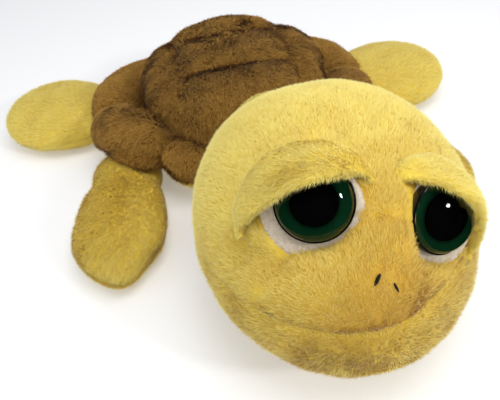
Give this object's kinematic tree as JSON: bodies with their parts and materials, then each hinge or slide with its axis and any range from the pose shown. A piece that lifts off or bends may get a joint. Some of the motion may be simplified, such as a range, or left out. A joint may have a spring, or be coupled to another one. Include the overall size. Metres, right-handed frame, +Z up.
{
  "type": "plush turtle",
  "caption": "Plush sea turtle lying flat: big turned head with domed eyes and padded lids, quilted dome shell with a padded rim, loosely sewn flippers",
  "frame": {"origin": "middle of the flat belly, on the surface that the toy rests on", "axes": "+Z up, the body looks towards -Y, the turtle's left side is +X"},
  "size_m": [0.3798, 0.3645, 0.1289],
  "materials": {
    "yellow_plush": "short soft pile, paler at the tips",
    "brown_plush": "longer soft pile, golden brown at the tips",
    "fibre_filling": "loose polyester fibre",
    "pellet_bag_cloth": "plain woven bag of plastic pellets",
    "cream_felt": "pressed felt",
    "black_plastic": "smooth",
    "green_plastic": "smooth dark green",
    "clear_plastic": "polished clear dome",
    "white_plastic": "plain moulded"
  },
  "bodies": {
    "torso": {"belly_skin": "yellow_plush", "body_stuffing": "fibre_filling", "pellet_bag": "pellet_bag_cloth", "tail": "yellow_plush", "shell_top_panel": "brown_plush", "shell_front_panel": "brown_plush", "shell_rear_panel": "brown_plush", "shell_left_panel": "brown_plush", "shell_right_panel": "brown_plush", "shell_rim_roll_1": "brown_plush", "shell_rim_roll_2": "brown_plush", "shell_rim_roll_3": "brown_plush", "shell_rim_roll_4": "brown_plush", "shell_rim_roll_5": "brown_plush", "shell_rim_roll_6": "brown_plush"},
    "neck": {"neck_sleeve": "yellow_plush", "neck_stuffing": "fibre_filling"},
    "head": {"head_upper": "yellow_plush", "head_jaw": "yellow_plush", "head_stuffing": "fibre_filling", "upper_eyelid_left": "yellow_plush", "eye_felt_left": "cream_felt", "eye_back_left": "black_plastic", "eye_iris_left": "green_plastic", "eye_pupil_left": "black_plastic", "eye_dome_left": "clear_plastic", "eye_washer_left": "white_plastic", "upper_eyelid_right": "yellow_plush", "eye_felt_right": "cream_felt", "eye_back_right": "black_plastic", "eye_iris_right": "green_plastic", "eye_pupil_right": "black_plastic", "eye_dome_right": "clear_plastic", "eye_washer_right": "white_plastic"},
    "front_flipper_left": {"front_flipper_left_top": "yellow_plush", "front_flipper_left_underside": "yellow_plush", "front_flipper_left_stuffing": "fibre_filling"},
    "front_flipper_right": {"front_flipper_right_top": "yellow_plush", "front_flipper_right_underside": "yellow_plush", "front_flipper_right_stuffing": "fibre_filling"},
    "rear_flipper_left": {"rear_flipper_left_top": "yellow_plush", "rear_flipper_left_underside": "yellow_plush", "rear_flipper_left_stuffing": "fibre_filling"},
    "rear_flipper_right": {"rear_flipper_right_top": "yellow_plush", "rear_flipper_right_underside": "yellow_plush", "rear_flipper_right_stuffing": "fibre_filling"}
  },
  "joints": [
    {"name": "head_turn", "type": "hinge", "parent": "torso", "child": "neck", "pos_m": [0.016, -0.086, 0.046], "axis": [0, 0, 1], "range_deg": [-18, 4]},
    {"name": "head_nod", "type": "hinge", "parent": "neck", "child": "head", "pos_m": [0.016, -0.086, 0.046], "axis": [-0.9525, 0.1627, 0.2574], "range_deg": [0, 12]},
    {"name": "front_flipper_left_swing", "type": "hinge", "parent": "torso", "child": "front_flipper_left", "pos_m": [0.088, -0.057, 0.016], "axis": [0, 0, 1], "range_deg": [0, 36]},
    {"name": "front_flipper_right_swing", "type": "hinge", "parent": "torso", "child": "front_flipper_right", "pos_m": [-0.094, -0.057, 0.016], "axis": [0, 0, -1], "range_deg": [0, 53]},
    {"name": "rear_flipper_left_swing", "type": "hinge", "parent": "torso", "child": "rear_flipper_left", "pos_m": [0.08, 0.005, 0.016], "axis": [0, 0, 1], "range_deg": [-10, 44]},
    {"name": "rear_flipper_right_swing", "type": "hinge", "parent": "torso", "child": "rear_flipper_right", "pos_m": [-0.1, 0.018, 0.016], "axis": [0, 0, -1], "range_deg": [-24, 30]}
  ]
}
